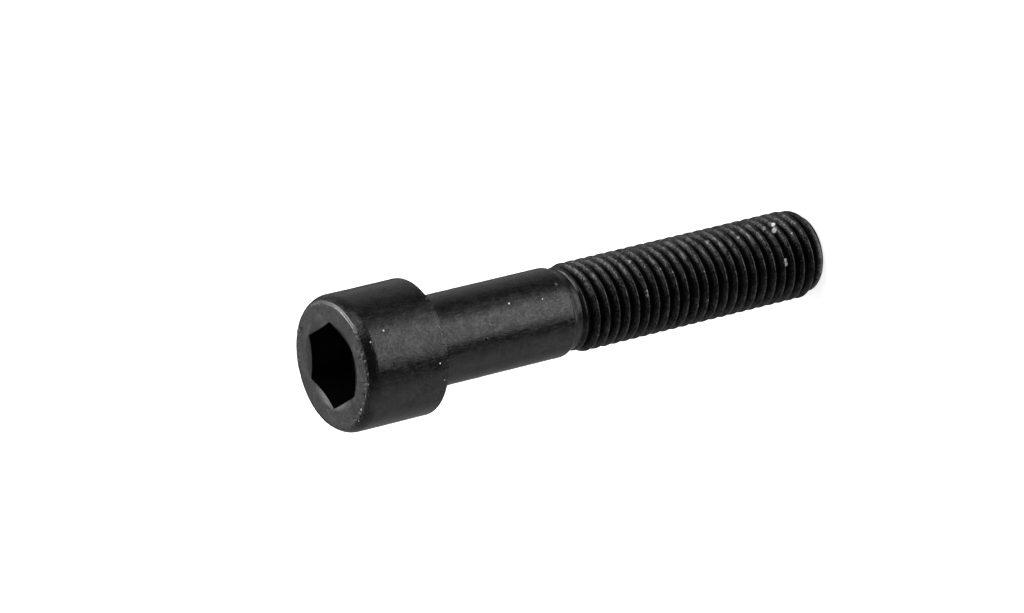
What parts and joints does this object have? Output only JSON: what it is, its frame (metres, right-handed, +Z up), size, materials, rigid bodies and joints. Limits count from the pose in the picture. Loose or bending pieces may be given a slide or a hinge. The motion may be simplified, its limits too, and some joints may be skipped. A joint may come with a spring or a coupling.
{
  "type": "socket head cap screw",
  "caption": "Cap screw with a tall round head, a hexagon socket, a plain shank and a coarse right-hand thread.",
  "frame": {"origin": "centre of the flat end face of the thread, on which the screw stands", "axes": "+Z up the screw's axis, from the end of the thread to the top of the head; two flats of the socket face along Y"},
  "size_m": [0.0286, 0.0286, 0.1195],
  "materials": {
    "black_oxide_steel": "satin black oxide on alloy steel, worn along the edges"
  },
  "bodies": {
    "root": {"socket_head_cap_screw": "black_oxide_steel"}
  },
  "joints": []
}
